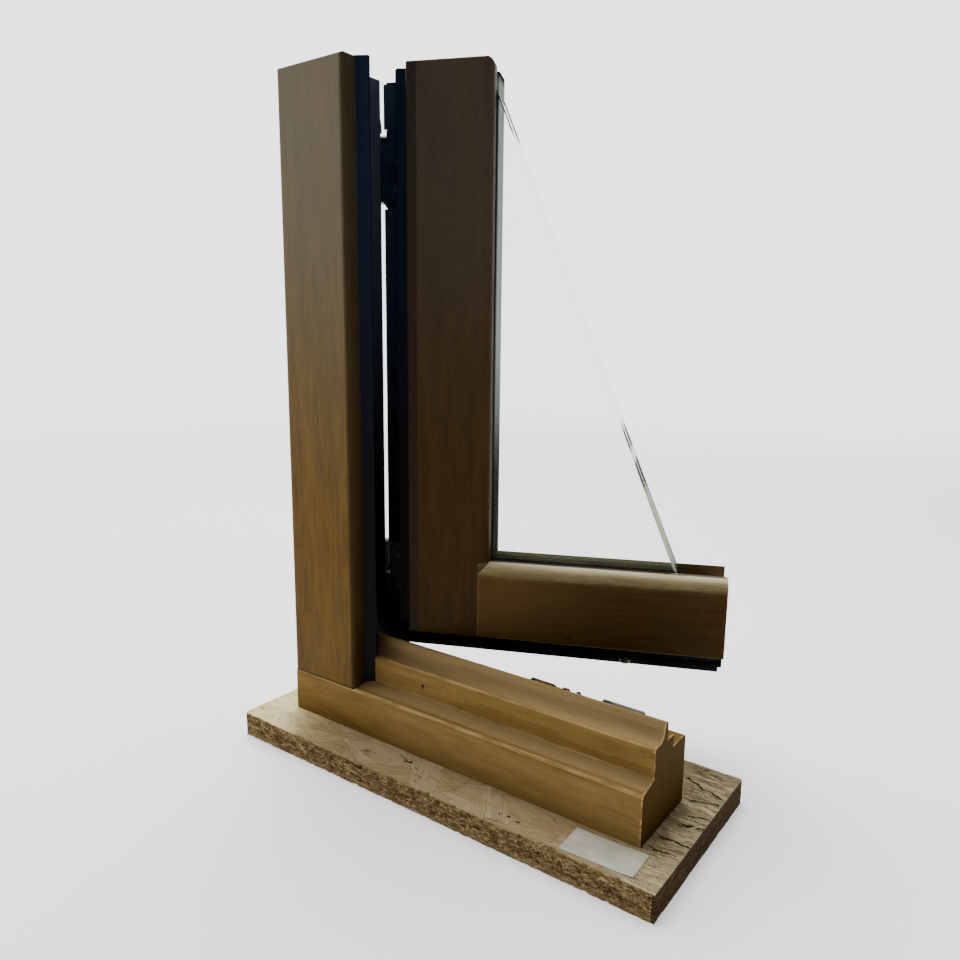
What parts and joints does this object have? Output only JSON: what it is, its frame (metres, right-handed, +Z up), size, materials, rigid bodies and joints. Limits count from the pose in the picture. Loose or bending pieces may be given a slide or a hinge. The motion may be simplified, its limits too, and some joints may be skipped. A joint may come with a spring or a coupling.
{
  "type": "window frame corner sample",
  "caption": "Corner sample of an inward-opening timber window: profiled sill and jamb on a board, with a hinged, double-glazed sash corner standing ajar.",
  "frame": {"origin": "centre of the board's underside, on the floor", "axes": "+X along the sill away from the hinge side, +Y from outdoors to indoors, +Z up"},
  "size_m": [0.3804, 0.2372, 0.541],
  "materials": {
    "board": "pressed strands and chips, unsealed",
    "paper": "matt sticker",
    "sill_wood": "clear satin varnish",
    "jamb_wood": "clear satin varnish",
    "sash_wood": "clear satin varnish",
    "black_rubber": "satin extruded gasket",
    "hinge_steel": "dark satin",
    "hardware_steel": "zinc passivated, dull",
    "glass": "clear float",
    "spacer_metal": "mill, matt",
    "packer_plastic": "moulded"
  },
  "bodies": {
    "frame": {"base_board": "board", "label": "paper", "frame_sill": "sill_wood", "frame_jamb": "jamb_wood", "frame_gasket": "black_rubber", "striker_near": "hardware_steel", "striker_far": "hardware_steel", "hinge_plate_upper": "hinge_steel", "hinge_pin_upper": "hinge_steel", "hinge_bearing_lower": "hinge_steel"},
    "sash": {"sash_stile": "sash_wood", "sash_rail": "sash_wood", "pane_outer": "glass", "pane_inner": "glass", "spacer_bar": "spacer_metal", "unit_sealant": "black_rubber", "packer_near": "packer_plastic", "packer_far": "packer_plastic", "bead_stile": "sash_wood", "bead_rail": "sash_wood", "sash_gasket_stile": "black_rubber", "sash_gasket_rail": "black_rubber", "corner_drive": "hardware_steel", "drive_rod_rail": "hardware_steel", "hinge_leaf_upper": "hinge_steel", "hinge_leaf_lower": "hinge_steel"}
  },
  "joints": [
    {"name": "sash_swing", "type": "hinge", "parent": "frame", "child": "sash", "pos_m": [-0.12975, 0.0412, 0.3], "axis": [0, 0, 1], "range_deg": [-23.4, 76.6]}
  ]
}
